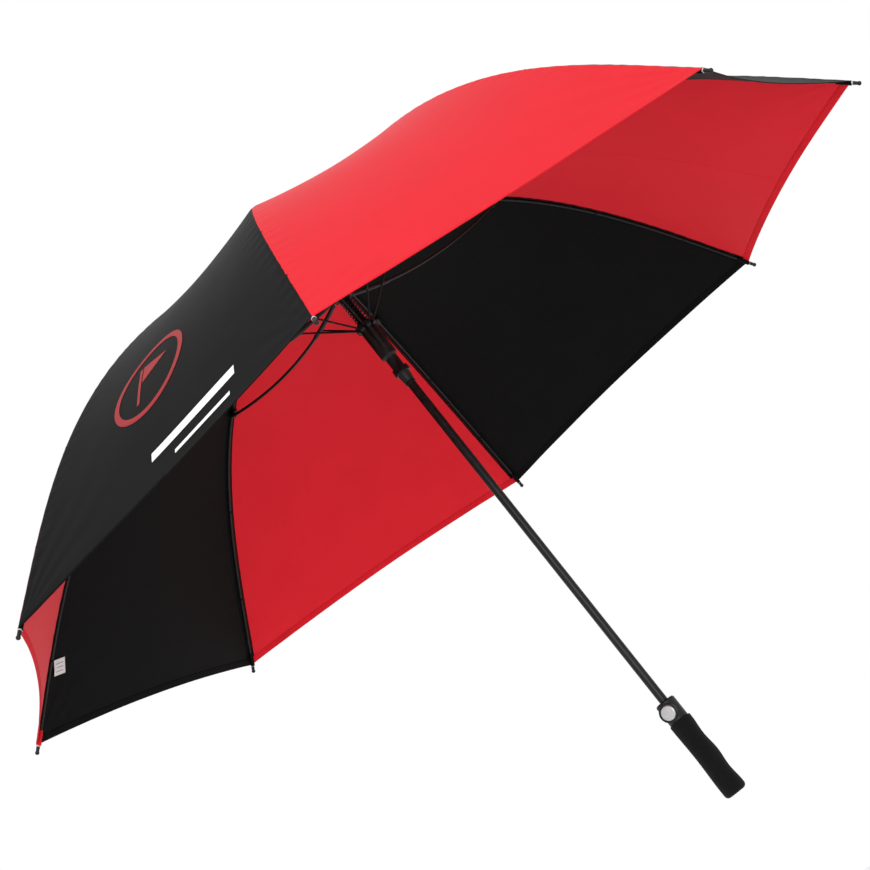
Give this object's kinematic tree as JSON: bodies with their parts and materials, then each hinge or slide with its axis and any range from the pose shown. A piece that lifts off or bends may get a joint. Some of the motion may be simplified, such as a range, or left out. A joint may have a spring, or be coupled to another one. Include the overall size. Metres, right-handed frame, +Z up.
{
  "type": "golf umbrella",
  "caption": "Large open golf umbrella with red and black panels, fibreglass ribs, spring-assisted double runner, straight shaft, push button and foam grip.",
  "frame": {"origin": "centre of the handle's flat bottom end, on the shaft's axis", "axes": "+Z runs up the shaft from the handle to the crown, and rib 1 points along +X; ribs and panels are numbered anticlockwise seen from above"},
  "size_m": [1.2964, 1.2964, 0.922],
  "materials": {
    "red_fabric": "matte",
    "black_fabric": "matte",
    "fibreglass": "satin",
    "shaft_fibre": "satin",
    "black_plastic": "satin",
    "black_wire": "satin",
    "satin_silver": "satin",
    "spring_steel": "satin",
    "grip_foam": "matte",
    "label_tape": "matte"
  },
  "bodies": {
    "frame": {"shaft_tube": "shaft_fibre", "crown_hub": "black_plastic", "crown_washer": "black_plastic", "ferrule": "black_plastic", "handle_housing": "black_plastic", "foam_grip": "grip_foam", "grip_end_plug": "black_plastic", "button_return_spring": "spring_steel"},
    "lower_runner": {"lower_runner": "black_plastic", "opening_spring": "black_wire"},
    "upper_runner": {"upper_runner": "black_plastic"},
    "push_button": {"push_button": "satin_silver", "latch_plate": "spring_steel"},
    "rib_1": {"rib_1": "fibreglass", "rib_tip_1": "black_plastic", "canopy_panel_1": "red_fabric"},
    "stretcher_1": {"stretcher_1": "fibreglass"},
    "strut_1": {"strut_1": "black_wire"},
    "rib_2": {"rib_2": "fibreglass", "rib_tip_2": "black_plastic", "canopy_panel_2": "black_fabric"},
    "stretcher_2": {"stretcher_2": "fibreglass"},
    "strut_2": {"strut_2": "black_wire"},
    "rib_3": {"rib_3": "fibreglass", "rib_tip_3": "black_plastic", "canopy_panel_3": "red_fabric"},
    "stretcher_3": {"stretcher_3": "fibreglass"},
    "strut_3": {"strut_3": "black_wire"},
    "rib_4": {"rib_4": "fibreglass", "rib_tip_4": "black_plastic", "canopy_panel_4": "black_fabric"},
    "stretcher_4": {"stretcher_4": "fibreglass"},
    "strut_4": {"strut_4": "black_wire"},
    "rib_5": {"rib_5": "fibreglass", "rib_tip_5": "black_plastic", "canopy_panel_5": "red_fabric"},
    "stretcher_5": {"stretcher_5": "fibreglass"},
    "strut_5": {"strut_5": "black_wire"},
    "rib_6": {"rib_6": "fibreglass", "rib_tip_6": "black_plastic", "canopy_panel_6": "black_fabric", "closure_strap": "black_fabric", "care_label": "label_tape"},
    "stretcher_6": {"stretcher_6": "fibreglass"},
    "strut_6": {"strut_6": "black_wire"},
    "rib_7": {"rib_7": "fibreglass", "rib_tip_7": "black_plastic", "canopy_panel_7": "red_fabric"},
    "stretcher_7": {"stretcher_7": "fibreglass"},
    "strut_7": {"strut_7": "black_wire"},
    "rib_8": {"rib_8": "fibreglass", "rib_tip_8": "black_plastic", "canopy_panel_8": "black_fabric"},
    "stretcher_8": {"stretcher_8": "fibreglass"},
    "strut_8": {"strut_8": "black_wire"}
  },
  "joints": [
    {"name": "runner_slide", "type": "slide", "parent": "frame", "child": "lower_runner", "axis": [0, 0, 1], "range_m": [-0.5, 0], "stiffness_N_per_m": 40, "springref_m": 0.4, "deforming": ["opening_spring"]},
    {"name": "upper_runner_slide", "type": "slide", "parent": "frame", "child": "upper_runner", "axis": [0, 0, 1], "range_m": [-0.5318, 0]},
    {"name": "button_press", "type": "slide", "parent": "frame", "child": "push_button", "axis": [-0.9397, 0.342, 0], "range_m": [0, 0.002], "stiffness_N_per_m": 900, "springref_m": -0.001, "deforming": ["button_return_spring"]},
    {"name": "rib_1_hinge", "type": "hinge", "parent": "frame", "child": "rib_1", "pos_m": [0.013, 0, 0.8557], "axis": [0, 1, 0], "range_deg": [0, 64.1], "deforming": ["canopy_panel_1"]},
    {"name": "stretcher_1_hinge", "type": "hinge", "parent": "upper_runner", "child": "stretcher_1", "pos_m": [0.012, 0.0054, 0.768], "axis": [0, -1, 0], "range_deg": [0, 65.7]},
    {"name": "strut_1_hinge", "type": "hinge", "parent": "lower_runner", "child": "strut_1", "pos_m": [0.012, 0, 0.719], "axis": [0, -1, 0], "range_deg": [0, 30.2]},
    {"name": "rib_2_hinge", "type": "hinge", "parent": "frame", "child": "rib_2", "pos_m": [0.00919, 0.00919, 0.8557], "axis": [-0.7071, 0.7071, 0], "range_deg": [0, 64.1], "deforming": ["canopy_panel_2"]},
    {"name": "stretcher_2_hinge", "type": "hinge", "parent": "upper_runner", "child": "stretcher_2", "pos_m": [0.00467, 0.0123, 0.768], "axis": [0.7071, -0.7071, 0], "range_deg": [0, 65.7]},
    {"name": "strut_2_hinge", "type": "hinge", "parent": "lower_runner", "child": "strut_2", "pos_m": [0.00848, 0.00848, 0.719], "axis": [0.7071, -0.7071, 0], "range_deg": [0, 30.2]},
    {"name": "rib_3_hinge", "type": "hinge", "parent": "frame", "child": "rib_3", "pos_m": [0, 0.013, 0.8557], "axis": [-1, 0, 0], "range_deg": [0, 64.1], "deforming": ["canopy_panel_3"]},
    {"name": "stretcher_3_hinge", "type": "hinge", "parent": "upper_runner", "child": "stretcher_3", "pos_m": [-0.0054, 0.012, 0.768], "axis": [1, 0, 0], "range_deg": [0, 65.7]},
    {"name": "strut_3_hinge", "type": "hinge", "parent": "lower_runner", "child": "strut_3", "pos_m": [0, 0.012, 0.719], "axis": [1, 0, 0], "range_deg": [0, 30.2]},
    {"name": "rib_4_hinge", "type": "hinge", "parent": "frame", "child": "rib_4", "pos_m": [-0.00919, 0.00919, 0.8557], "axis": [-0.7071, -0.7071, 0], "range_deg": [0, 64.1], "deforming": ["canopy_panel_4"]},
    {"name": "stretcher_4_hinge", "type": "hinge", "parent": "upper_runner", "child": "stretcher_4", "pos_m": [-0.0123, 0.00467, 0.768], "axis": [0.7071, 0.7071, 0], "range_deg": [0, 65.7]},
    {"name": "strut_4_hinge", "type": "hinge", "parent": "lower_runner", "child": "strut_4", "pos_m": [-0.00848, 0.00848, 0.719], "axis": [0.7071, 0.7071, 0], "range_deg": [0, 30.2]},
    {"name": "rib_5_hinge", "type": "hinge", "parent": "frame", "child": "rib_5", "pos_m": [-0.013, 0, 0.8557], "axis": [0, -1, 0], "range_deg": [0, 64.1], "deforming": ["canopy_panel_5"]},
    {"name": "stretcher_5_hinge", "type": "hinge", "parent": "upper_runner", "child": "stretcher_5", "pos_m": [-0.012, -0.0054, 0.768], "axis": [0, 1, 0], "range_deg": [0, 65.7]},
    {"name": "strut_5_hinge", "type": "hinge", "parent": "lower_runner", "child": "strut_5", "pos_m": [-0.012, 0, 0.719], "axis": [0, 1, 0], "range_deg": [0, 30.2]},
    {"name": "rib_6_hinge", "type": "hinge", "parent": "frame", "child": "rib_6", "pos_m": [-0.00919, -0.00919, 0.8557], "axis": [0.7071, -0.7071, 0], "range_deg": [0, 64.1], "deforming": ["canopy_panel_6", "closure_strap", "care_label"]},
    {"name": "stretcher_6_hinge", "type": "hinge", "parent": "upper_runner", "child": "stretcher_6", "pos_m": [-0.00467, -0.0123, 0.768], "axis": [-0.7071, 0.7071, 0], "range_deg": [0, 65.7]},
    {"name": "strut_6_hinge", "type": "hinge", "parent": "lower_runner", "child": "strut_6", "pos_m": [-0.00848, -0.00848, 0.719], "axis": [-0.7071, 0.7071, 0], "range_deg": [0, 30.2]},
    {"name": "rib_7_hinge", "type": "hinge", "parent": "frame", "child": "rib_7", "pos_m": [0, -0.013, 0.8557], "axis": [1, 0, 0], "range_deg": [0, 64.1], "deforming": ["canopy_panel_7"]},
    {"name": "stretcher_7_hinge", "type": "hinge", "parent": "upper_runner", "child": "stretcher_7", "pos_m": [0.0054, -0.012, 0.768], "axis": [-1, 0, 0], "range_deg": [0, 65.7]},
    {"name": "strut_7_hinge", "type": "hinge", "parent": "lower_runner", "child": "strut_7", "pos_m": [0, -0.012, 0.719], "axis": [-1, 0, 0], "range_deg": [0, 30.2]},
    {"name": "rib_8_hinge", "type": "hinge", "parent": "frame", "child": "rib_8", "pos_m": [0.00919, -0.00919, 0.8557], "axis": [0.7071, 0.7071, 0], "range_deg": [0, 64.1], "deforming": ["canopy_panel_8"]},
    {"name": "stretcher_8_hinge", "type": "hinge", "parent": "upper_runner", "child": "stretcher_8", "pos_m": [0.0123, -0.00467, 0.768], "axis": [-0.7071, -0.7071, 0], "range_deg": [0, 65.7]},
    {"name": "strut_8_hinge", "type": "hinge", "parent": "lower_runner", "child": "strut_8", "pos_m": [0.00848, -0.00848, 0.719], "axis": [-0.7071, -0.7071, 0], "range_deg": [0, 30.2]}
  ],
  "couplings": [
    {"joint": "upper_runner_slide", "follows": "runner_slide", "ratio": 1.0636},
    {"joint": "rib_1_hinge", "follows": "runner_slide", "rad_per_m": -2.2375},
    {"joint": "stretcher_1_hinge", "follows": "runner_slide", "rad_per_m": -2.2933},
    {"joint": "strut_1_hinge", "follows": "runner_slide", "rad_per_m": -1.0541},
    {"joint": "rib_2_hinge", "follows": "runner_slide", "rad_per_m": -2.2375},
    {"joint": "stretcher_2_hinge", "follows": "runner_slide", "rad_per_m": -2.2933},
    {"joint": "strut_2_hinge", "follows": "runner_slide", "rad_per_m": -1.0541},
    {"joint": "rib_3_hinge", "follows": "runner_slide", "rad_per_m": -2.2375},
    {"joint": "stretcher_3_hinge", "follows": "runner_slide", "rad_per_m": -2.2933},
    {"joint": "strut_3_hinge", "follows": "runner_slide", "rad_per_m": -1.0541},
    {"joint": "rib_4_hinge", "follows": "runner_slide", "rad_per_m": -2.2375},
    {"joint": "stretcher_4_hinge", "follows": "runner_slide", "rad_per_m": -2.2933},
    {"joint": "strut_4_hinge", "follows": "runner_slide", "rad_per_m": -1.0541},
    {"joint": "rib_5_hinge", "follows": "runner_slide", "rad_per_m": -2.2375},
    {"joint": "stretcher_5_hinge", "follows": "runner_slide", "rad_per_m": -2.2933},
    {"joint": "strut_5_hinge", "follows": "runner_slide", "rad_per_m": -1.0541},
    {"joint": "rib_6_hinge", "follows": "runner_slide", "rad_per_m": -2.2375},
    {"joint": "stretcher_6_hinge", "follows": "runner_slide", "rad_per_m": -2.2933},
    {"joint": "strut_6_hinge", "follows": "runner_slide", "rad_per_m": -1.0541},
    {"joint": "rib_7_hinge", "follows": "runner_slide", "rad_per_m": -2.2375},
    {"joint": "stretcher_7_hinge", "follows": "runner_slide", "rad_per_m": -2.2933},
    {"joint": "strut_7_hinge", "follows": "runner_slide", "rad_per_m": -1.0541},
    {"joint": "rib_8_hinge", "follows": "runner_slide", "rad_per_m": -2.2375},
    {"joint": "stretcher_8_hinge", "follows": "runner_slide", "rad_per_m": -2.2933},
    {"joint": "strut_8_hinge", "follows": "runner_slide", "rad_per_m": -1.0541}
  ]
}
